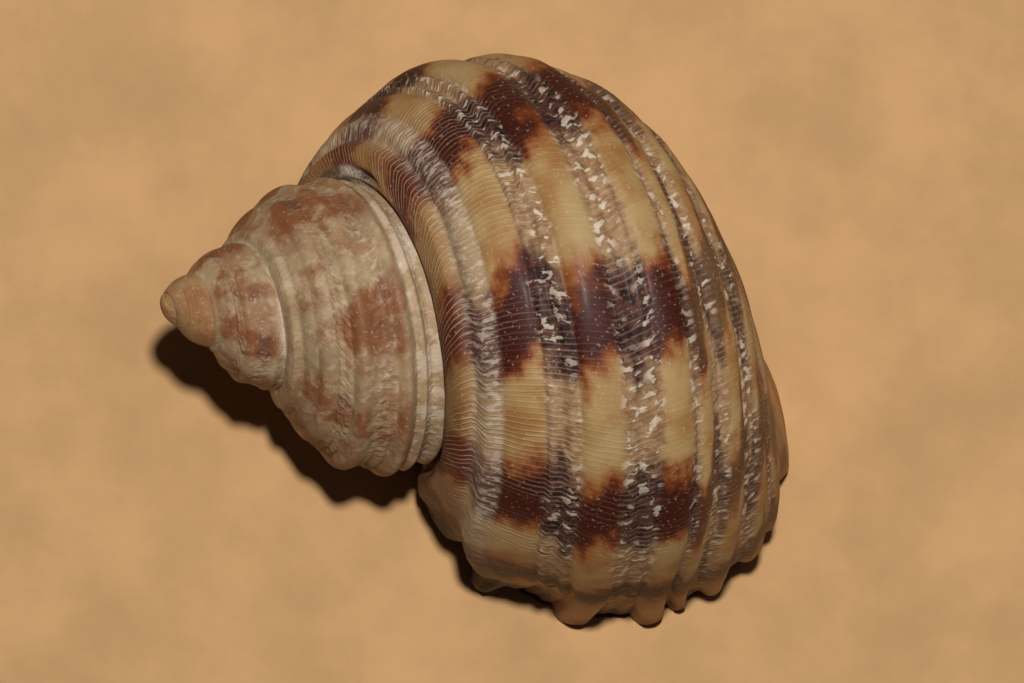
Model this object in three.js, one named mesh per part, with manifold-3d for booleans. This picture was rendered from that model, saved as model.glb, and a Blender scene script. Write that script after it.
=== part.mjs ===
// A turban shell, grown as one piece: a tube that widens as it winds round a tilted axis.
// It rests mouth down, on the flat rim of its mouth and on the belly of its last whorl.
// Millimetres, +Z up, the origin under the middle of the shell on the surface it rests on.
import * as THREE from 'three';
import { mergeVertices } from 'three/addons/utils/BufferGeometryUtils.js';
import Module from 'manifold-3d';

// ---- where the shell sits ----
const MOUTH_CENTRE = new THREE.Vector3(5.728, -4.433, 0);
const TIP = new THREE.Vector3(-20.392, 2.617, 18.67);
const AXIS_DIP = 22.31;
const AXIS_TURN = -1.06;

// ---- how the tube grows: natural logarithms per turn, turns counted back from the mouth ----
const MOUTH_RADIUS = 11.48;
const TUBE_GROWTH = 0.571;
const SWING_GROWTH = 0.728;
const SWING_SLOWING = 0.0534;
const DROP_GROWTH = 0.684;
const DROP_SLOWING = -0.0258;
const FIRST_TURN = -3;
const KNOB_TURN = -3.25;
const KNOB_RADIUS = 1.95;

// ---- the tube's section: 0 degrees points along +X at the mouth, 90 degrees along -Y ----
const OVALNESS = 0.035;
const OVAL_ANGLE = 52;
const TROUGH_DEPTH = 0.035;
const SUTURE_ANGLE = 197;
const HIDDEN_SIDE_STEP = 13;
const RIBS = [
  { angle: 156, half: 9, rise: 0.036 },
  { angle: 143, half: 5, rise: 0.018 },
  { angle: 131, half: 4, rise: 0.014 },
  { angle: 113, half: 8, rise: 0.038 },
  { angle: 99, half: 4, rise: 0.012 },
  { angle: 86, half: 7, rise: 0.038 },
  { angle: 74, half: 4, rise: 0.02 },
  { angle: 60, half: 5, rise: 0.03 },
  { angle: 43, half: 5, rise: 0.025 },
  { angle: 27, half: 6, rise: 0.02 },
];
const RIB_DRIFT = 5.5;

// ---- the last stretch before the mouth ----
const FLARE_START = -0.2;
const FLARE = 1.3;
const FLARE_ANGLE = 46;
const DESCENT_START = -0.16;
const DESCENT = [[0, 0], [86, 11], [113, 12.5], [156, 20], [197, 27], [330, 0], [360, 0]];
const SCALLOP_START = -0.1;
const SCALLOP_GAIN = 1.1;

// ---- the wall and the hollow ----
const CAVITY_START = -1.45;
const CAVITY_RATIO = 0.78;
const RIM_RATIO = 0.83;
const RIM_TAPER = 0.12;
const CAVITY_SHIFT = 0.06;
const CAVITY_SHIFT_ANGLE = 60;
const GLAZE_RATIO = 1.02;
const MOUTH_CLEARANCE = 2;

// ---- the pillar that the whorls wind round: distance along the axis from the tip, and radius ----
const PILLAR = [[5, 0], [6, 0.6], [26, 3.4], [28.5, 3.3], [30.2, 2.2], [30.8, 0]];
const PILLAR_SIDES = 20;
const STRETCH = 0.5;
const ROOM = 200;

// ---- facets ----
const STEPS_PER_TURN = [24, 18, 12];
const CAVITY_STEPS_PER_TURN = 20;
const CAVITY_SIDES = 28;
const KNOB_SIDES = 20;
const WELD = 1e-5;
const SHORTEST_EDGE = 0.01;

const degrees = THREE.MathUtils.degToRad;
const eased = (x) => THREE.MathUtils.smoothstep(x, 0, 1);

const AXIS = new THREE.Vector3(1, 0, 0)
  .applyAxisAngle(new THREE.Vector3(0, 1, 0), degrees(AXIS_DIP))
  .applyAxisAngle(new THREE.Vector3(0, 0, 1), -degrees(AXIS_TURN));
const TIP_TO_MOUTH = MOUTH_CENTRE.clone().sub(TIP);
const DROP = TIP_TO_MOUTH.dot(AXIS);
const SWING = TIP_TO_MOUTH.clone().addScaledVector(AXIS, -DROP);

const grown = (turn, rate, slowing = 0) => Math.exp(rate * turn - slowing * turn * turn);

// Height given by a list of [angle, value] pairs, joined by straight lines.
function between(pairs, angle) {
  const a = THREE.MathUtils.euclideanModulo(angle, 360);
  const after = pairs.findIndex(([end]) => end > a);
  const [a0, v0] = pairs[after - 1];
  const [a1, v1] = pairs[after];
  return THREE.MathUtils.mapLinear(a, a0, a1, v0, v1);
}

const polar = (angle, radius) => new THREE.Vector3(Math.cos(angle), -Math.sin(angle), 0).multiplyScalar(radius);

// The ribs creep down the whorl as it grows, all but the one on the shoulder.
function ribAngle(angle, turn) {
  const share = eased((150 - angle) / 35) * eased(angle / 30);
  return angle - RIB_DRIFT * share * (turn + 0.3);
}

// Relief of the ribbed surface, as a share of the tube's radius.
function relief(angle) {
  const ribs = RIBS.map(({ angle: at, half, rise }) => rise * eased(1 - Math.abs(angle - at) / half));
  const ribbed = eased((angle - 10) / 15) * eased((SUTURE_ANGLE - angle) / 15);
  return (Math.max(...ribs) - TROUGH_DEPTH) * ribbed;
}

// A point of the tube. The angle names a rib line, which slides round the section as it grows.
// The ratio scales the section, and the shift moves it off centre by a share of its radius.
function tubePoint(turn, angle, { ratio = 1, ribbed = true, shift = 0 } = {}) {
  const nearMouth = eased((turn - DESCENT_START) / -DESCENT_START);
  const place = degrees(ribAngle(angle, turn) - between(DESCENT, angle) * nearMouth);
  const tube = MOUTH_RADIUS * grown(turn, TUBE_GROWTH);
  const scallop = 1 + SCALLOP_GAIN * eased((turn - SCALLOP_START) / -SCALLOP_START);
  const oval = 1 + OVALNESS * Math.cos(2 * (place - degrees(OVAL_ANGLE)));
  const radius = tube * ratio * (oval + (ribbed ? relief(angle) * scallop : 0));
  const flare = FLARE * eased((turn - FLARE_START) / -FLARE_START);
  const section = polar(place, radius)
    .add(polar(degrees(FLARE_ANGLE), flare))
    .add(polar(degrees(CAVITY_SHIFT_ANGLE), shift * tube));
  return section
    .addScaledVector(SWING, grown(turn, SWING_GROWTH, SWING_SLOWING))
    .addScaledVector(AXIS, DROP * grown(turn, DROP_GROWTH, DROP_SLOWING))
    .applyAxisAngle(AXIS, 2 * Math.PI * turn)
    .add(TIP);
}

// A closed tube through a list of rings of points, with a fan over each end.
function tubeGeometry(rings) {
  const sides = rings[0].length;
  const centre = (ring) => ring.reduce((sum, p) => sum.add(p), new THREE.Vector3()).divideScalar(sides);
  const points = [...rings.flat(), centre(rings[0]), centre(rings.at(-1))];
  const first = rings.length * sides;
  const lastRing = (rings.length - 1) * sides;
  const index = [];
  for (let i = 0; i < sides; i += 1) {
    const j = (i + 1) % sides;
    for (let k = 0; k < rings.length - 1; k += 1) {
      const a = k * sides;
      const b = a + sides;
      index.push(a + i, b + j, b + i, a + i, a + j, b + j);
    }
    index.push(first, j, i, first + 1, lastRing + i, lastRing + j);
  }
  return new THREE.BufferGeometry().setFromPoints(points).setIndex(index);
}

function turnsBetween(start, end, stepsPerTurn) {
  const steps = Math.ceil((end - start) * stepsPerTurn - 1e-6);
  return Array.from({ length: steps + 1 }, (_, k) => start + ((end - start) * k) / steps);
}

// Section angles: four to a rib, so that each keeps its crest and its flanks, and even steps elsewhere.
function sectionAngles() {
  const onRibs = RIBS.flatMap(({ angle, half }) => [-1, -0.35, 0.35, 1].map((side) => angle + side * half));
  const ramp = [171, 179, 187, SUTURE_ANGLE];
  const hidden = [];
  for (let a = SUTURE_ANGLE + HIDDEN_SIDE_STEP; a < 360 + 15; a += HIDDEN_SIDE_STEP) {
    hidden.push(a);
  }
  return [...onRibs, ...ramp, ...hidden].sort((a, b) => a - b)
    .filter((a, i, all) => i === 0 || a - all[i - 1] > 1.2);
}

const wasm = await Module();
wasm.setup();

function welded(geometry) {
  geometry.deleteAttribute('normal');
  geometry.deleteAttribute('uv');
  return mergeVertices(geometry, WELD);
}

function solid(geometry) {
  const flat = new wasm.Mesh({
    numProp: 3,
    vertProperties: new Float32Array(geometry.getAttribute('position').array),
    triVerts: new Uint32Array(geometry.getIndex().array),
  });
  return new wasm.Manifold(flat);
}

// Whorls from the mouth backwards. Each stretch is less than a turn long, so that it never meets itself.
function outerStretch(start, end, surface) {
  const angles = sectionAngles();
  const stepsPerTurn = STEPS_PER_TURN[Math.min(Math.floor(-end + 1e-6), STEPS_PER_TURN.length - 1)];
  const rings = turnsBetween(start, end, stepsPerTurn)
    .map((turn) => angles.map((angle) => tubePoint(turn, angle, surface)));
  return solid(tubeGeometry(rings));
}

function outside(start, end, surface) {
  let whole = null;
  for (let e = end; e > start + 1e-6; e -= STRETCH) {
    const stretch = outerStretch(Math.max(e - STRETCH, start), e, surface);
    whole = whole ? whole.add(stretch) : stretch;
  }
  return whole;
}

// The hollow of one stretch, less the older whorl, glazed smooth, that forms the wall between them.
function hollowStretch(start, end) {
  const angles = Array.from({ length: CAVITY_SIDES }, (_, k) => (360 * k) / CAVITY_SIDES);
  const rings = turnsBetween(start, end, CAVITY_STEPS_PER_TURN).map((turn) => {
    const rim = eased((turn + RIM_TAPER) / RIM_TAPER);
    const ratio = THREE.MathUtils.lerp(CAVITY_RATIO, RIM_RATIO, rim);
    return angles.map((angle) => tubePoint(turn, angle, { ratio, ribbed: false, shift: CAVITY_SHIFT }));
  });
  if (end === 0) {
    rings.push(rings.at(-1).map((p) => p.clone().setZ(-MOUTH_CLEARANCE)));
  }
  const olderWhorl = outside(start - 1.25, end - 0.75, { ratio: GLAZE_RATIO, ribbed: false });
  return solid(tubeGeometry(rings)).subtract(olderWhorl).subtract(pillar());
}

function pillar() {
  const profile = PILLAR.map(([along, radius]) => new THREE.Vector2(radius, along));
  const geometry = new THREE.LatheGeometry(profile, PILLAR_SIDES);
  const upright = new THREE.Vector3(0, 1, 0);
  geometry.applyQuaternion(new THREE.Quaternion().setFromUnitVectors(upright, AXIS));
  geometry.translate(TIP.x, TIP.y, TIP.z);
  return solid(welded(geometry));
}

// The first whorls are worn to one smooth knob.
function tipKnob() {
  const across = [0, 180].map((angle) => tubePoint(KNOB_TURN, angle));
  const centre = across[0].add(across[1]).divideScalar(2);
  const ball = new THREE.SphereGeometry(KNOB_RADIUS, KNOB_SIDES, KNOB_SIDES / 2);
  ball.translate(centre.x, centre.y, centre.z);
  return solid(welded(ball));
}

function shellGeometry() {
  let body = outside(FIRST_TURN, 0).add(pillar()).add(tipKnob());
  for (let end = 0; end > CAVITY_START; end -= STRETCH) {
    body = body.subtract(hollowStretch(Math.max(end - STRETCH, CAVITY_START), end));
  }
  const room = new THREE.BoxGeometry(ROOM, ROOM, ROOM).translate(0, 0, ROOM / 2);
  const worn = body.intersect(solid(welded(room))).asOriginal().simplify(SHORTEST_EDGE);
  // Joining leaves a few slivers with no volume, so only the largest piece is kept.
  const [whole] = worn.decompose().sort((a, b) => b.volume() - a.volume());
  const resting = whole.getMesh();
  const geometry = new THREE.BufferGeometry();
  geometry.setAttribute('position', new THREE.BufferAttribute(resting.vertProperties, 3));
  geometry.setIndex(new THREE.BufferAttribute(resting.triVerts, 1));
  return geometry;
}

const pearlyLime = new THREE.MeshStandardMaterial({ color: 0xa07a4e, roughness: 0.45, metalness: 0 });
const shell = new THREE.Mesh(shellGeometry(), pearlyLime);
shell.name = 'shell';

const turbanShell = new THREE.Group();
turbanShell.add(shell);

export default turbanShell;
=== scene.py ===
import math

import bmesh
import bpy
import numpy as np
from mathutils import Matrix, Vector, noise


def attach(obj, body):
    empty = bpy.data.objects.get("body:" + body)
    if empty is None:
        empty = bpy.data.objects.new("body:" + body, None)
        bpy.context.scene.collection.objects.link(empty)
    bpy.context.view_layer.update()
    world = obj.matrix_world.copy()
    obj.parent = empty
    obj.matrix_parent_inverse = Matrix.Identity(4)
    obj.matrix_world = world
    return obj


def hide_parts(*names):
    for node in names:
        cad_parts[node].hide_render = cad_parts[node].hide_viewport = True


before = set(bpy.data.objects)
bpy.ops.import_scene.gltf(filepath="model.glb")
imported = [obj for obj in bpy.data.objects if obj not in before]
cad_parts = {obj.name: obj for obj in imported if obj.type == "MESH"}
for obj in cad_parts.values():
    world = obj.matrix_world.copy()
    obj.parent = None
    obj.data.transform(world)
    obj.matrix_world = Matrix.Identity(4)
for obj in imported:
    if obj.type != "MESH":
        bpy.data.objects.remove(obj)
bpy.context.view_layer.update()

MM = 0.001

# ---- where the shell sits, as in the CAD part ----
MOUTH_CENTRE = Vector((5.728, -4.433, 0.0)) * MM
TIP = Vector((-20.392, 2.617, 18.67)) * MM
AXIS_DIP = math.radians(22.31)
AXIS_TURN = math.radians(1.06)
AXIS = Matrix.Rotation(AXIS_TURN, 3, "Z") @ Matrix.Rotation(AXIS_DIP, 3, "Y") @ Vector((1, 0, 0))

# ---- how the tube grows: natural logarithms per turn, turns counted back from the mouth ----
MOUTH_RADIUS = 11.48 * MM
TUBE_GROWTH = 0.571
SWING_GROWTH, SWING_SLOWING = 0.728, 0.0534
DROP_GROWTH, DROP_SLOWING = 0.684, -0.0258
FIRST_TURN = -3.9
OVALNESS, OVAL_ANGLE = 0.035, math.radians(52)
FLARE, FLARE_ANGLE, FLARE_START = 1.3 * MM, math.radians(46), -0.2

# ---- cage ----
RING_POINTS = 64
CLOSE_SHARE, CLOSE_ANGLE = 0.73, 205  # this share of the points is on the seen side of the section, 0 to this angle
LIP_STEPS = (-0.004, -0.012)
STEPS_PER_TURN = (37, 22, 12, 10)
FINE_LEVELS = 2
RIM_RATIOS = (0.985, 0.94, 0.87, 0.82)
LINING_RATIO = 0.79
LINING_SHIFT = 0.04
LINING_TURNS = 0.7
LINING_STEPS_PER_TURN = 10
RIM_LENGTH = 0.12  # turns over which the wall thins to the lining

TIP_DOME = (25, 50, 72)  # degrees round the rounded end of the first whorl
TIP_FLATNESS = 0.85

GROWTH_LINES = 330  # in a turn, at the mouth

# ---- the lines along the whorl, in degrees round the section: 0 along +X at the mouth, 90 along -Y ----
LINE_SEAM = 280
SUTURE_LINE = 197
RIB_DRIFT = 5.5
DESCENT_START = -0.16
DESCENT = ((0, 0), (86, 8), (113, 8.5), (140, 15), (156, 20), (197, 27), (330, 0), (360, 0))

# Smooth raised ribs, as (middle, half width, height as a share of the tube's radius).
SMOOTH_RIBS = (
    (144.5, 8.0, 0.026), (113, 7.6, 0.054), (86, 6.4, 0.052), (74.5, 3.6, 0.036),
    (60.5, 4.8, 0.046), (43, 4.2, 0.040), (30, 4.0, 0.034), (18, 3.5, 0.024),
)
# Rough scaly riblets that stand in the hollows between them.
ROUGH_RIBLETS = (
    (159, 8.5, 0.034), (132, 2.6, 0.024), (124.5, 3.2, 0.032),
    (103.5, 3.2, 0.026), (95.5, 3.4, 0.030), (79, 2.0, 0.020), (69.5, 2.0, 0.018),
    (65.8, 1.6, 0.016), (53, 2.4, 0.018), (48.5, 2.0, 0.018), (36.5, 2.4, 0.018), (24, 2.2, 0.014),
)
SHOULDER_CORD = 159
TROUGH = 0.047  # depth of the hollows between the ribs
RIB_BASE, RIB_BASE_NARROWING = 1.15, 0.3  # the foot of a rib is this much wider, and less so at the lip
RIBLET_BASE, RIBLET_BASE_WIDENING = 1.3, 0.5
RIBLET_FADING = 0.7
# Older whorls have rounded, worn ribs: where each change starts, going back, and over how many turns.
ROUNDED_FROM, ROUNDED_OVER = -0.8, 0.5
LOWER_FROM, LOWER_OVER = -0.5, 0.3
FADED_FROM, FADED_OVER = -1.5, 1.2
GONE_BEFORE, GONE_OVER = -3.1, 0.9
# Where the ribs stand out more: (turn, half the length in turns, gain).
LUMPS = ((-1.08, 0.32, 1.1), (-0.56, 0.26, 0.6))
SCALLOP_START, SCALLOP_GAIN, RIB_TIP_GAIN, RIBLET_TIP_GAIN = -0.15, 1.3, 0.62, -0.6
SUTURE_DEPTH = 0.05
# Behind the flared lip the whorl is drawn in: (turn, depth as a share of the tube's radius), and how much of
# that each line takes.
WAIST = ((-0.26, 0), (-0.16, 0.066), (-0.13, 0.120), (-0.1, 0.166), (-0.075, 0.180), (-0.05, 0.152), (-0.035, 0.116),
         (-0.018, 0.060), (0, 0))
WAIST_SHARE = ((35, 0), (60, 0.5), (80, 1), (125, 0.95), (144, 0.7), (152, 0.25), (160, 0.15), (172, 0.6), (184, 0.6),
               (194, 0))
# The knob where the shoulder meets the lip.
KNOB_LINE, KNOB_HALF_WIDTH, KNOB_LENGTH, KNOB_HEIGHT = 151, 8, 0.045, 0.13

# An old break beside the suture that has healed as a notch: (turn, line), half its size, and its depth.
NOTCH, NOTCH_SIZE, NOTCH_DEPTH = (-0.635, 192), (0.040, 6), 0.10

# Soft unevenness of the whole surface: (size of the waves, height).
UNEVENNESS = ((3.1 * MM, 0.08 * MM), (1.1 * MM, 0.04 * MM))

# How far a growth line runs ahead of its section, in turns for each degree of line.
RAMP_LEAN, SIDE_LEAN, OLD_SIDE_LEAN = -0.0008, 0.00095, 0.0009
RAMP_LEAN_LINE = 160
STRIA_GROWTH, ACROSS_GROWTH = 0.62, 0.35

CALLUS_CENTRE = Vector((3.2, 5.0, 5.8)) * MM
CALLUS_SIZE = Vector((2.2, 6.4, 5.9)) * MM  # half sizes

# Middles of the dark rays that follow the growth lines, in turns, measured on the line RAY_LINE.
RAY_LINE = 150
RAYS = (-4.2, -4.0, -3.8, -3.6, -3.42, -3.25, -3.08, -2.92, -2.76, -2.6, -2.43, -2.285, -2.16, -2.03,
        -1.9, -1.78, -1.66, -1.54, -1.375, -1.225, -1.1, -0.98, -0.86, -0.74, -0.62, -0.497, -0.342,
        -0.226, -0.118, 0.02)


def eased(x):
    x = np.clip(x, 0, 1)
    return x * x * (3 - 2 * x)


def grown(turn, rate, slowing=0.0):
    return math.exp(rate * turn - slowing * turn * turn)


def section_way(angle):
    """A unit vector in the plane of the mouth: 0 along +X, a quarter turn along -Y."""
    return Vector((math.cos(angle), -math.sin(angle), 0))


TIP_TO_MOUTH = MOUTH_CENTRE - TIP
DROP = TIP_TO_MOUTH.dot(AXIS)
SWING = TIP_TO_MOUTH - AXIS * DROP


def ring_centre(turn, shift=0.0):
    flare = FLARE * float(eased((turn - FLARE_START) / -FLARE_START))
    offset = section_way(FLARE_ANGLE) * flare + section_way(math.radians(60)) * shift
    arm = SWING * grown(turn, SWING_GROWTH, SWING_SLOWING) + AXIS * DROP * grown(turn, DROP_GROWTH, DROP_SLOWING)
    return TIP + Matrix.Rotation(2 * math.pi * turn, 3, AXIS) @ (arm + offset)


# ---------------------------------------------------------------- the cage, modelled by operators


def deselect_all():
    if bpy.context.object and bpy.context.object.mode != "OBJECT":
        bpy.ops.object.mode_set(mode="OBJECT")
    bpy.ops.object.select_all(action="DESELECT")


def axis_matrix():
    """Axes whose Z is the coiling axis."""
    z = AXIS
    x = z.orthogonal().normalized()
    return Matrix((x, z.cross(x), z)).transposed()


def mouth_ring():
    deselect_all()
    centre = ring_centre(0)
    bpy.ops.mesh.primitive_circle_add(vertices=RING_POINTS, radius=MOUTH_RADIUS, location=centre)
    shell = bpy.context.object
    bpy.ops.object.transform_apply(location=True, rotation=False, scale=False)
    bpy.ops.object.mode_set(mode="EDIT")
    bm = bmesh.from_edit_mesh(shell.data)
    for name in ("turn", "line_cos", "line_sin", "inside"):
        bm.verts.layers.float.new(name)
    cos, sin = (bm.verts.layers.float[n] for n in ("line_cos", "line_sin"))
    for v in bm.verts:
        arm = v.co - centre
        share = (math.atan2(-arm.y, arm.x) / (2 * math.pi)) % 1
        if share < CLOSE_SHARE:
            angle = share / CLOSE_SHARE * CLOSE_ANGLE
        else:
            angle = CLOSE_ANGLE + (share - CLOSE_SHARE) / (1 - CLOSE_SHARE) * (360 - CLOSE_ANGLE)
        way = section_way(math.radians(angle))
        v.co = centre + way * MOUTH_RADIUS
        v[cos], v[sin] = way.x, -way.y
    bmesh.update_edit_mesh(shell.data)
    long_way, short_way = section_way(OVAL_ANGLE), section_way(OVAL_ANGLE + math.pi / 2)
    bpy.ops.transform.resize(value=(1 + OVALNESS, 1 - OVALNESS, 1), orient_type="GLOBAL",
                             orient_matrix=Matrix((long_way, short_way, Vector((0, 0, 1)))).transposed(),
                             orient_matrix_type="GLOBAL", constraint_axis=(True, True, False),
                             center_override=centre)
    return shell


def mark_ring(shell, turn, inside):
    bm = bmesh.from_edit_mesh(shell.data)
    turns, insides = (bm.verts.layers.float[n] for n in ("turn", "inside"))
    for v in bm.verts:
        if v.select:
            v[turns], v[insides] = turn, inside
    bmesh.update_edit_mesh(shell.data)


def next_ring(shell, before, after, inside=0.0):
    """Extrudes the selected ring from one (turn, ratio, shift) to the next."""
    (turn0, ratio0, shift0), (turn1, ratio1, shift1) = before, after
    bpy.ops.mesh.extrude_region_move(TRANSFORM_OT_translate={"value": (0, 0, 0)})
    swept = 2 * math.pi * (turn1 - turn0)
    if swept:
        bpy.ops.transform.rotate(value=swept, orient_axis="Z", orient_type="GLOBAL",
                                 orient_matrix=axis_matrix(), orient_matrix_type="GLOBAL",
                                 constraint_axis=(False, False, True), center_override=TIP)
    scale = ratio1 / ratio0 * grown(turn1 - turn0, TUBE_GROWTH)
    tube0 = MOUTH_RADIUS * grown(turn0, TUBE_GROWTH)
    tube1 = MOUTH_RADIUS * grown(turn1, TUBE_GROWTH)
    turned = TIP + Matrix.Rotation(swept, 3, AXIS) @ (ring_centre(turn0, shift0 * tube0) - TIP)
    bpy.ops.transform.resize(value=(scale, scale, scale), center_override=turned)
    bpy.ops.transform.translate(value=ring_centre(turn1, shift1 * tube1) - turned)
    mark_ring(shell, turn1, inside)


def select_ring(shell, turn):
    bpy.ops.mesh.select_mode(type="VERT")
    bpy.ops.mesh.select_all(action="DESELECT")
    bm = bmesh.from_edit_mesh(shell.data)
    turns = bm.verts.layers.float["turn"]
    for v in bm.verts:
        if abs(v[turns] - turn) < 1e-5:
            v.select = True
    bm.select_flush_mode()
    bmesh.update_edit_mesh(shell.data)


def grow_outside(shell):
    turn = 0.0
    for older in LIP_STEPS:
        next_ring(shell, (turn, 1, 0), (older, 1, 0))
        turn = older
    while turn > FIRST_TURN + 1e-6:
        step = 1 / STEPS_PER_TURN[int(-turn + 1e-6)]
        older = max(turn - step, FIRST_TURN)
        next_ring(shell, (turn, 1, 0), (older, 1, 0))
        turn = older
    tube = MOUTH_RADIUS * grown(turn, TUBE_GROWTH)
    backwards = Matrix.Rotation(2 * math.pi * turn, 3, AXIS) @ Vector((0, 0, 1))
    last = 0.0
    for angle in TIP_DOME:
        angle = math.radians(angle)
        bpy.ops.mesh.extrude_region_move(TRANSFORM_OT_translate={
            "value": backwards * tube * TIP_FLATNESS * (math.sin(angle) - math.sin(last))})
        scale = math.cos(angle) / math.cos(last)
        bpy.ops.transform.resize(value=(scale, scale, scale))
        last = angle
    bpy.ops.mesh.merge(type="CENTER")


def grow_lining(shell):
    """From the mouth ring across the flat rim and back up the hollow, where it is closed."""
    select_ring(shell, 0.0)
    last = (0.0, 1.0, 0.0)
    for ratio in RIM_RATIOS:
        share = (1 - ratio) / (1 - RIM_RATIOS[-1])
        here = (0.0, ratio, LINING_SHIFT * share)
        next_ring(shell, last, here, 0.3 + 0.7 * share)
        last = here
    for k in range(1, int(LINING_TURNS * LINING_STEPS_PER_TURN) + 1):
        turn = -k / LINING_STEPS_PER_TURN
        ratio = LINING_RATIO + (RIM_RATIOS[-1] - LINING_RATIO) * float(1 - eased(-turn / RIM_LENGTH))
        here = (turn, ratio, LINING_SHIFT)
        next_ring(shell, last, here, 1.0)
        last = here
    bpy.ops.mesh.merge(type="CENTER")


# ---------------------------------------------------------------- the fine surface


def values_of(mesh, name):
    out = np.empty(len(mesh.vertices), np.float32)
    mesh.attributes[name].data.foreach_get("value", out)
    return out.astype(float)


def store(mesh, name, values):
    layer = mesh.attributes.get(name) or mesh.attributes.new(name, "FLOAT", "POINT")
    layer.data.foreach_set("value", np.asarray(values, np.float32))


def subdivided(shell):
    fine = shell.modifiers.new("fine", "SUBSURF")
    fine.levels = fine.render_levels = FINE_LEVELS
    deselect_all()
    bpy.context.view_layer.objects.active = shell
    shell.select_set(True)
    bpy.ops.object.modifier_apply(modifier=fine.name)


def descent(line):
    angles, slides = zip(*DESCENT)
    return np.interp(line % 360, angles, slides)


def rib_lines(turn, place):
    """The rib line at each place round the section: the ribs drift as the whorl grows, and drop at the mouth."""
    near = eased((turn - DESCENT_START) / -DESCENT_START)
    line = place.copy()
    for _ in range(12):
        share = eased((150 - line) / 35) * eased(line / 30)
        line = place + descent(line) * near + RIB_DRIFT * share * (turn + 0.3)
    return line


def bump(x):
    return eased(1 - np.abs(x))


def plateau(x):
    """A rib with a broad rounded top."""
    return np.sqrt(np.clip(1 - np.clip(np.abs(x), 0, 1) ** 2.4, 0, 1))


def wavering(points, size, seed):
    """Smooth noise, the same on every run."""
    shift = Vector((seed * 7.31, seed * 3.17, seed * 5.71))
    return np.array([noise.noise(Vector(p) / size + shift) for p in points])


def grown_relief(turn, line):
    """Height of the ribs, riblets, suture and knob, and the depth of the waist, as shares of the tube's radius."""
    ribbed = eased((line - 6) / 12) * eased((SUTURE_LINE - 22 - line) / 8)
    lip = eased((turn - SCALLOP_START) / -SCALLOP_START)
    rounded = eased((ROUNDED_FROM - turn) / ROUNDED_OVER)
    rise = np.zeros(len(turn))
    for middle, half, height in SMOOTH_RIBS:
        off = (line - middle) / (half * (RIB_BASE - RIB_BASE_NARROWING * lip))
        rib = height * (plateau(off) * (1 - rounded) + bump(off / 1.25) * rounded)
        rise = np.maximum(rise, rib * (1 + RIB_TIP_GAIN * lip))
    for middle, half, height in ROUGH_RIBLETS:
        off = (line - middle) / (half * (RIBLET_BASE + RIBLET_BASE_WIDENING * rounded))
        tip_gain = RIB_TIP_GAIN if middle == SHOULDER_CORD else RIBLET_TIP_GAIN
        rise = np.maximum(rise, height * bump(off) * (1 - RIBLET_FADING * rounded) * (1 + tip_gain * lip))
    strength = 1 - 0.25 * eased((LOWER_FROM - turn) / LOWER_OVER) + 0.5 * rounded
    strength = (strength - 0.6 * eased((FADED_FROM - turn) / FADED_OVER)) * eased((turn - GONE_BEFORE) / GONE_OVER)
    strength = strength * (1 + sum(gain * bump((turn - middle) / half) for middle, half, gain in LUMPS))
    ribs = (rise - TROUGH * (1 + SCALLOP_GAIN * lip)) * ribbed * strength
    suture = SUTURE_DEPTH * eased((line - SUTURE_LINE) / 4) * eased((SUTURE_LINE + 40 - line) / 20)
    notch = NOTCH_DEPTH * bump((turn - NOTCH[0]) / NOTCH_SIZE[0]) * bump((line - NOTCH[1]) / NOTCH_SIZE[1])
    knob = KNOB_HEIGHT * bump((line - KNOB_LINE) / KNOB_HALF_WIDTH) * eased((turn + KNOB_LENGTH) / KNOB_LENGTH)
    waist = np.interp(turn, *zip(*WAIST)) * np.interp(line, *zip(*WAIST_SHARE))
    return ribs - suture - notch + knob, waist


def growth_lean(turn, line):
    """How far a growth line runs ahead of its section, in turns: forward down the side and back up the ramp."""
    ramp = np.clip(line - RAMP_LEAN_LINE, 0, 44) * RAMP_LEAN
    side = np.clip(RAY_LINE - line, -20, 45) * (SIDE_LEAN + OLD_SIDE_LEAN * eased((-0.9 - turn) / 0.3))
    return side + ramp


def shape_surface(shell):
    mesh = shell.data
    turn, inside = values_of(mesh, "turn"), values_of(mesh, "inside")
    place = np.degrees(np.arctan2(values_of(mesh, "line_sin"), values_of(mesh, "line_cos")))
    place = (place - LINE_SEAM) % 360 + LINE_SEAM - 360
    line = rib_lines(turn, place)
    points = np.empty(len(turn) * 3, np.float32)
    mesh.vertices.foreach_get("co", points)
    points = points.reshape(-1, 3).astype(float)
    tube = MOUTH_RADIUS * np.exp(TUBE_GROWTH * turn)
    relief, waist = grown_relief(turn, line)
    rise = relief * tube
    for seed, (size, height) in enumerate(UNEVENNESS, 1):
        rise += wavering(points, size, seed) * height
    outward = np.stack((np.cos(np.radians(place)), -np.sin(np.radians(place)), np.zeros(len(turn))), 1)
    points += turned_about_axis(outward, 2 * np.pi * turn) * (rise * (1 - inside) - waist * tube)[:, None]
    points[:, 2] = np.maximum(points[:, 2], 0)
    mesh.vertices.foreach_set("co", points.astype(np.float32).ravel())
    straightened = eased((turn - DESCENT_START) / -DESCENT_START)
    grown_at = turn - growth_lean(turn, line) * (1 - straightened)
    store(mesh, "line", line)
    store(mesh, "growth", grown_at)
    store(mesh, "ray", np.interp(grown_at, RAYS, np.arange(len(RAYS))))
    store(mesh, "stria", np.exp(STRIA_GROWTH * grown_at) * GROWTH_LINES / STRIA_GROWTH)
    store(mesh, "across", line * np.exp(ACROSS_GROWTH * turn))
    for name in ("line_cos", "line_sin"):
        mesh.attributes.remove(mesh.attributes[name])
    mesh.update()


def turned_about_axis(vectors, angles):
    """Each vector turned about the coiling axis by its own angle."""
    axis = np.array(AXIS)
    cos, sin = np.cos(angles)[:, None], np.sin(angles)[:, None]
    along = (vectors @ axis)[:, None] * axis
    return vectors * cos + np.cross(axis, vectors) * sin + along * (1 - cos)


# ---------------------------------------------------------------- shader maths


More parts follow.
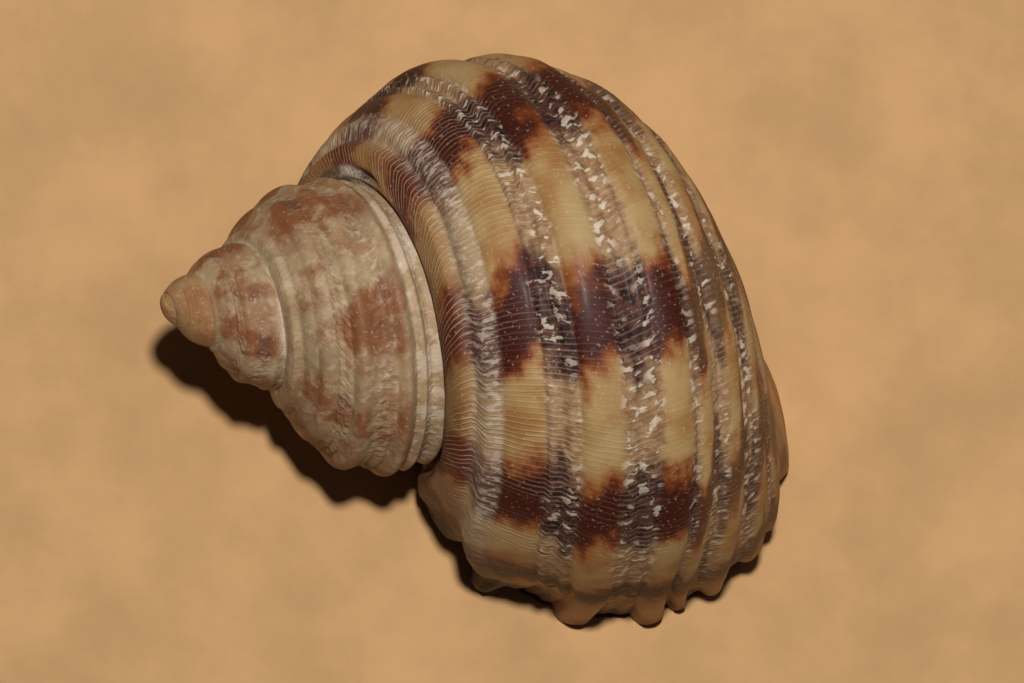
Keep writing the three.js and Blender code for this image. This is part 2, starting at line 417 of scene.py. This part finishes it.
class Wire:
    """A shader socket that adds Math nodes when it is used in an expression."""

    def __init__(self, made, socket):
        self.made = made
        self.socket = socket

    def math(self, operation, *values):
        return self.made.node("ShaderNodeMath", {"operation": operation}, dict(enumerate(values)))

    def __add__(self, other):
        return self.math("ADD", self, other)

    def __radd__(self, other):
        return self.math("ADD", other, self)

    def __sub__(self, other):
        return self.math("SUBTRACT", self, other)

    def __rsub__(self, other):
        return self.math("SUBTRACT", other, self)

    def __mul__(self, other):
        return self.math("MULTIPLY", self, other)

    def __rmul__(self, other):
        return self.math("MULTIPLY", other, self)

    def __truediv__(self, other):
        return self.math("DIVIDE", self, other)

    def __rtruediv__(self, other):
        return self.math("DIVIDE", other, self)

    def __abs__(self):
        return self.math("ABSOLUTE", self)

    def least(self, other):
        return self.math("MINIMUM", self, other)

    def to_nearest(self):
        """Distance to the nearest whole number, from 0 to a half."""
        return abs(self - self.math("ROUND", self))

    def step(self, low, high):
        """0 below low, 1 above high, smooth between; high may be the lower of the two."""
        return self.made.node("ShaderNodeMapRange", {"interpolation_type": "SMOOTHSTEP"},
                              {"Value": self, "From Min": low, "From Max": high}, out="Result")


class Material:
    def __init__(self, name):
        self.material = bpy.data.materials.new(name)
        self.material.use_nodes = True
        self.tree = self.material.node_tree
        self.shader = self.tree.nodes["Principled BSDF"]

    def node(self, kind, settings=None, inputs=None, out=0):
        made = self.tree.nodes.new(kind)
        for key, value in (settings or {}).items():
            setattr(made, key, value)
        for key, value in (inputs or {}).items():
            self.feed(made.inputs[key], value)
        return Wire(self, made.outputs[out])

    def feed(self, socket, value):
        if isinstance(value, Wire):
            self.tree.links.new(value.socket, socket)
        else:
            socket.default_value = value

    def attribute(self, name):
        return self.node("ShaderNodeAttribute", {"attribute_name": name}, out="Fac")

    def mix(self, factor, a, b):
        """Colours a and b, mixed."""
        made = self.tree.nodes.new("ShaderNodeMix")
        made.data_type = "RGBA"
        self.feed(made.inputs[0], factor)
        self.feed(made.inputs[6], a)
        self.feed(made.inputs[7], b)
        return Wire(self, made.outputs[2])

    def blend(self, factor, a, b):
        """Numbers a and b, mixed."""
        return a + (b - a) * factor

    def vector(self, x, y, z=0.0):
        return self.node("ShaderNodeCombineXYZ", inputs={"X": x, "Y": y, "Z": z})

    def noise(self, where, scale, detail=3.0, roughness=0.5):
        return self.node("ShaderNodeTexNoise", inputs={"Vector": where, "Scale": scale, "Detail": detail,
                                                        "Roughness": roughness})

    def ramp(self, value, stops):
        made = self.tree.nodes.new("ShaderNodeValToRGB")
        ramp = made.color_ramp
        while len(ramp.elements) < len(stops):
            ramp.elements.new(0.5)
        for element, (place, level) in zip(ramp.elements, stops):
            element.position = place
            element.color = (level, level, level, 1)
        self.feed(made.inputs["Fac"], value)
        return self.node("ShaderNodeSeparateColor", inputs={"Color": Wire(self, made.outputs[0])})


def colour(red, green, blue):
    """A display colour, from 0 to 255, as the linear one that shaders take."""
    def linear(value):
        v = value / 255
        return v / 12.92 if v <= 0.04045 else ((v + 0.055) / 1.055) ** 2.4
    return (linear(red), linear(green), linear(blue), 1)


def rough_stops(softness):
    """Ramp stops over the rib lines: 1 on the rough riblets, 0 on the smooth ribs."""
    bands = sorted((middle - half, middle + half) for middle, half, _ in ROUGH_RIBLETS if middle < 150)
    joined = [list(bands[0])]
    for low, high in bands[1:]:
        if low - joined[-1][1] < 2.5:
            joined[-1][1] = high
        else:
            joined.append([low, high])
    stops = []
    for low, high in joined:
        stops += [((low - softness) / 360, 0), ((low + softness) / 360, 1),
                  ((high - softness) / 360, 1), ((high + softness) / 360, 0)]
    return stops


class ShellLime(Material):
    """The shell's material, with the zones and patterns that its layers share."""

    def __init__(self):
        super().__init__("banded_shell_lime")
        names = ("line", "growth", "ray", "stria", "across", "inside")
        self.line, self.growth, self.ray, self.stria, self.across, self.inside = map(self.attribute, names)
        here = self.node("ShaderNodeTexCoord", out="Object")
        self.wander = self.noise(here, 260, 2)
        self.mottle = self.noise(here, 380, 6, 0.65)
        self.blotch = self.noise(here, 420, 3)
        self.speckle = self.noise(here, 1500, 2)
        # Painted highlights: tiny pale specks scattered over the surface stand in for glints of light.
        self.glint_specks = self.noise(here, 5200, 1).step(0.64, 0.74)
        self.mark_zones()
        self.grow_lines()
        self.grow_scales()
        self.grow_rays()

    def grown_noise(self, along, across, detail=2, roughness=0.5):
        """Noise that follows the growth lines one way and the ribs the other."""
        return self.noise(self.vector(along, across), 1.0, detail, roughness)

    def mark_zones(self):
        line, growth = self.line, self.growth
        self.rough = self.ramp((line + (self.speckle - 0.5) * 2.5) / 360, rough_stops(0.8))
        self.roughened = self.ramp(line / 360, rough_stops(2.0))
        self.top_ramp = line.step(164, 172)
        self.shoulder = line.step(150, 154) * line.step(174, 164)
        self.lined = line.step(117, 140)
        self.low_side = line.step(82, 70)
        self.spire = growth.step(-0.86, -1.12)
        self.tip = growth.step(-2.5, -3.3)

    def grow_lines(self):
        """Growth lines: thin, pale and raised, with some bunched together."""
        bunched = self.grown_noise(self.stria * 0.13, self.across * 0.02)
        self.waver = (self.grown_noise(self.stria * 0.3, self.across * 0.06) - 0.5) * 1.4
        fine = (self.stria + self.waver).to_nearest() * 2
        sparse = (self.stria * 0.7 + self.waver).to_nearest() * 2
        lines = self.blend(self.top_ramp, fine.step(0.55, 0.95), sparse.step(0.62, 0.98))
        self.growth_line = lines * bunched.step(0.30, 0.62)

    def grow_scales(self):
        """Scales: short chalky ridges that stand across the riblets."""
        self.scale = self.grown_noise(self.stria * 0.75, self.across * 0.21, 2, 0.55)
        patchy = self.grown_noise(self.stria * 0.06, self.across * 0.08)
        self.chalk = self.scale.step(0.55, 0.62) * self.rough * patchy.step(0.35, 0.56)

    def grow_rays(self):
        """Dark rays with ragged edges, each rib's share of a ray a little shifted."""
        ragged = (self.grown_noise(self.stria * 0.3, self.across * 0.2, 3) - 0.5) * 0.30 + (self.wander - 0.5) * 0.35
        shifted = (self.grown_noise(0.0, self.line * 0.035, 1) - 0.5) * 0.5
        broken = self.low_side * (self.grown_noise(0.0, self.line * 0.11, 1) - 0.5) * 1.5
        off_ray = (self.ray + shifted + broken).to_nearest() + ragged
        self.in_ray = off_ray.step(0.34, 0.17) * (1 - self.low_side * 0.25)
        self.heart = off_ray.step(0.26, 0.10)

    def fresh_colour(self):
        """The last whorl: smooth and rough bands, the ramp, the shoulder and the base."""
        pale = self.mix(self.blotch.step(0.35, 0.7), colour(170, 140, 92), colour(150, 104, 56))
        pale = self.mix(self.wander.step(0.45, 0.7) * 0.6, pale, colour(172, 148, 104))
        dark = self.mix(self.heart, colour(136, 66, 22), colour(60, 14, 5))
        smooth = self.mix(self.in_ray, pale, dark)

        pale = self.mix(self.speckle.step(0.4, 0.65), colour(160, 128, 94), colour(136, 100, 68))
        dark = self.mix(self.speckle.step(0.42, 0.62), colour(80, 46, 40), colour(40, 16, 16))
        body = self.mix(self.rough, smooth, self.mix(self.in_ray, pale, dark))

        pale = self.mix(self.blotch.step(0.35, 0.7), colour(150, 112, 66), colour(128, 82, 42))
        dark = self.mix(self.heart, colour(116, 60, 28), colour(88, 34, 14))
        body = self.mix(self.top_ramp, body, self.mix(self.in_ray, pale, dark))

        cord = self.mix(self.in_ray, colour(158, 132, 102), colour(98, 68, 64))
        body = self.mix(self.shoulder * 0.8, body, cord)
        net = self.grown_noise(self.stria * 0.9 + self.waver * 1.5, self.across * 0.16, 3, 0.65)
        body = self.mix(self.shoulder * net.step(0.48, 0.60) * 0.55, body, colour(204, 190, 172))

        body = self.mix(self.line.step(52, 24) * 0.5, body, colour(150, 108, 76))
        streaks = 0.05 + self.top_ramp * 0.35 + self.rough * 0.15 + self.lined * 0.12 + self.shoulder * 0.2
        body = self.mix(self.growth_line * streaks, body, colour(204, 186, 158))
        return self.mix(self.chalk * (0.85 - self.in_ray * 0.2), body, colour(212, 198, 176))

    def worn_colour(self):
        """The spire: mottled and chalky, with what is left of its rays."""
        line, mottle = self.line, self.mottle
        worn = self.mix(mottle.step(0.36, 0.62), colour(168, 144, 110), colour(144, 106, 74))
        worn = self.mix(self.blotch.step(0.48, 0.68) * 0.5, worn, colour(138, 122, 94))
        worn = self.mix(self.speckle.step(0.52, 0.66) * 0.35, worn, colour(196, 178, 152))
        left = self.in_ray * mottle.step(0.36, 0.54) * line.step(76, 86) * line.step(178, 160)
        purple = self.rough * self.wander.step(0.4, 0.6)
        worn = self.mix(left * 0.75, worn, self.mix(purple, colour(120, 62, 24), colour(84, 42, 34)))
        crust = line.step(90, 74) * mottle.step(0.46, 0.54) + line.step(184, 192) * mottle.step(0.38, 0.5)
        return self.mix((self.chalk * 0.35 + crust * 0.6).least(0.9), worn, colour(208, 192, 168))

    def marked_lip(self, outer):
        """Adds painted light on the ribs behind the lip, the lip's tip colours with painted shade in the recesses
        between its fingers, its dark edge, and the stain on the ramp behind it.
        """
        line, growth, rough = self.line, self.growth, self.rough
        # Painted light: the ribs just behind the lip are lightened to a warm tan, as if lit, where the steep wall
        # turns away from the lamp.
        outer = self.mix(growth.step(-0.12, -0.03) * (0.5 - rough * 0.4), outer, colour(204, 150, 92))
        smooth_tip = self.mix(self.blotch.step(0.4, 0.6), colour(156, 108, 66), colour(104, 58, 34))
        # The lip's tips: smooth rib tips keep their own brown, and the rough riblets get painted shade, near-black
        # brown, for the recesses between the fingers.
        tips_and_recess_shade = self.mix(rough, smooth_tip, colour(50, 22, 14))
        outer = self.mix(growth.step(-0.04, -0.01) * (0.6 + rough * 0.3), outer, tips_and_recess_shade)
        edge = growth.step(-0.07, -0.03) * line.step(122, 138) * line.step(200, 190)
        outer = self.mix(edge * 0.95, outer, colour(62, 34, 32))
        stain = line.step(140, 160) * growth.step(-0.19, -0.10) * self.blotch.step(0.32, 0.52)
        stained = self.mix(self.speckle.step(0.4, 0.6), colour(96, 72, 66), colour(62, 38, 36))
        return self.mix(stain * 0.8, outer, stained)

    def outer_colour(self):
        outer = self.mix(self.spire, self.fresh_colour(), self.worn_colour())
        bare = self.mix(self.mottle.step(0.4, 0.6), colour(156, 124, 84), colour(142, 94, 56))
        outer = self.marked_lip(self.mix(self.tip, outer, bare))
        healed = self.growth.step(-0.75, -0.68) * self.growth.step(-0.55, -0.62) * self.line.step(186, 190)
        crust = self.mix(self.mottle.step(0.42, 0.58), colour(88, 68, 54), colour(176, 164, 146))
        outer = self.mix(healed * 0.9, outer, crust)
        # Painted highlights: small pale glint specks are mixed into the colour.
        return self.mix(self.glint_specks * 0.25, outer, colour(214, 198, 176))

    def surface_height(self):
        lines = self.growth_line * (0.08 + self.top_ramp * 0.2 + self.lined * 0.12) * (1 - self.spire * 0.7)
        grain = self.speckle * 0.3 * (0.3 + self.rough)
        scales = self.roughened * (self.scale - 0.5) * 1.4 * (1 - self.tip)
        return (lines + grain + scales + self.mottle * self.spire * 0.8) * (1 - self.inside)


def shell_material():
    m = ShellLime()
    lining = m.inside.step(0.5, 0.8)
    rim = m.mix(m.inside.step(0.02, 0.3), m.outer_colour(), colour(120, 84, 54))
    m.feed(m.shader.inputs["Base Color"], m.mix(lining, rim, colour(206, 200, 188)))
    m.feed(m.shader.inputs["Roughness"], 0.62 + m.rough * 0.08 + (m.speckle - 0.5) * 0.1 - lining * 0.25)
    m.shader.inputs["Specular IOR Level"].default_value = 0.28
    m.shader.inputs["Coat Weight"].default_value = 0.03
    m.shader.inputs["Coat Roughness"].default_value = 0.25
    relief = m.node("ShaderNodeBump", out="Normal", inputs={
        "Strength": 0.9, "Distance": 0.16 * MM, "Height": m.surface_height()})
    m.feed(m.shader.inputs["Normal"], relief)
    return m.material


# ---------------------------------------------------------------- stage


def plain(name, base, roughness):
    m = Material(name)
    where = m.node("ShaderNodeTexCoord", out="Object")
    grain = m.noise(where, 110, 5, 0.6)
    shade = tuple(0.8 * c for c in base[:3]) + (1,)
    m.feed(m.shader.inputs["Base Color"], m.mix(grain.step(0.3, 0.7), base, shade))
    m.shader.inputs["Roughness"].default_value = roughness
    return m.material


def add_floor():
    deselect_all()
    bpy.ops.mesh.primitive_plane_add(size=3.0, location=(0, 0, 0))
    floor = bpy.context.object
    floor.name = "floor"
    floor.data.materials.append(plain("warm_paper", colour(206, 161, 110), 0.9))


def add_light(name, place, target, size, watts, tint=(1, 1, 1)):
    light = bpy.data.lights.new(name, "AREA")
    light.shape = "DISK"
    light.size = size
    light.energy = watts
    light.color = tint
    lamp = bpy.data.objects.new(name, light)
    lamp.location = place
    lamp.rotation_euler = (Vector(target) - Vector(place)).to_track_quat("-Z", "Y").to_euler()
    bpy.context.scene.collection.objects.link(lamp)


def add_lights():
    world = bpy.data.worlds.new("soft_room")
    world.use_nodes = True
    world.node_tree.nodes["Background"].inputs["Color"].default_value = (1, 0.97, 0.93, 1)
    world.node_tree.nodes["Background"].inputs["Strength"].default_value = 0.014
    bpy.context.scene.world = world
    add_light("key", (0.013, 0.058, 0.362), (0, 0, 0), 0.018, 1.27, (1, 0.97, 0.93))
    add_light("fill", (0.10, 0.10, 0.40), (0, 0, 0), 0.25, 0.04)


# The camera looks straight down from six frame widths above the middle of the view.
FRAME_WIDTH = 61.44 * MM
VIEW_CENTRE = Vector((1.406, 0.548, 0)) * MM


def add_camera():
    camera = bpy.data.cameras.new("camera")
    camera.sensor_width = 36
    camera.lens = 216
    camera.clip_start = 0.01
    holder = bpy.data.objects.new("camera", camera)
    holder.location = VIEW_CENTRE + Vector((0, 0, FRAME_WIDTH * camera.lens / camera.sensor_width))
    bpy.context.scene.collection.objects.link(holder)
    bpy.context.scene.camera = holder


def finish_piece(piece, name, material):
    bpy.ops.object.shade_smooth()
    piece.name = piece.data.name = name
    piece.data.materials.append(material)
    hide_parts("shell")
    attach(piece, "root")


def build_shell():
    shell = mouth_ring()
    mark_ring(shell, 0.0, 0.0)
    grow_outside(shell)
    grow_lining(shell)
    bpy.ops.mesh.select_all(action="SELECT")
    bpy.ops.mesh.normals_make_consistent(inside=False)
    bpy.ops.object.mode_set(mode="OBJECT")
    subdivided(shell)
    shape_surface(shell)
    finish_piece(shell, "grown_shell", shell_material())


def build_callus():
    """The smooth pad that closes the navel beside the inner lip."""
    deselect_all()
    bpy.ops.mesh.primitive_uv_sphere_add(segments=96, ring_count=48, radius=1, location=CALLUS_CENTRE)
    callus = bpy.context.object
    callus.scale = CALLUS_SIZE
    callus.rotation_euler = (0, AXIS_DIP, AXIS_TURN)
    bpy.ops.object.transform_apply(location=True, rotation=True, scale=True)
    m = Material("callus_lime")
    where = m.node("ShaderNodeTexCoord", out="Object")
    cloud = m.noise(where, 320, 3)
    m.feed(m.shader.inputs["Base Color"], m.mix(cloud.step(0.35, 0.65), colour(158, 126, 92), colour(122, 82, 52)))
    m.shader.inputs["Roughness"].default_value = 0.4
    finish_piece(callus, "navel_callus", m.material)


build_callus()
build_shell()
add_floor()
add_lights()
add_camera()
bpy.context.scene.view_settings.view_transform = "Standard"
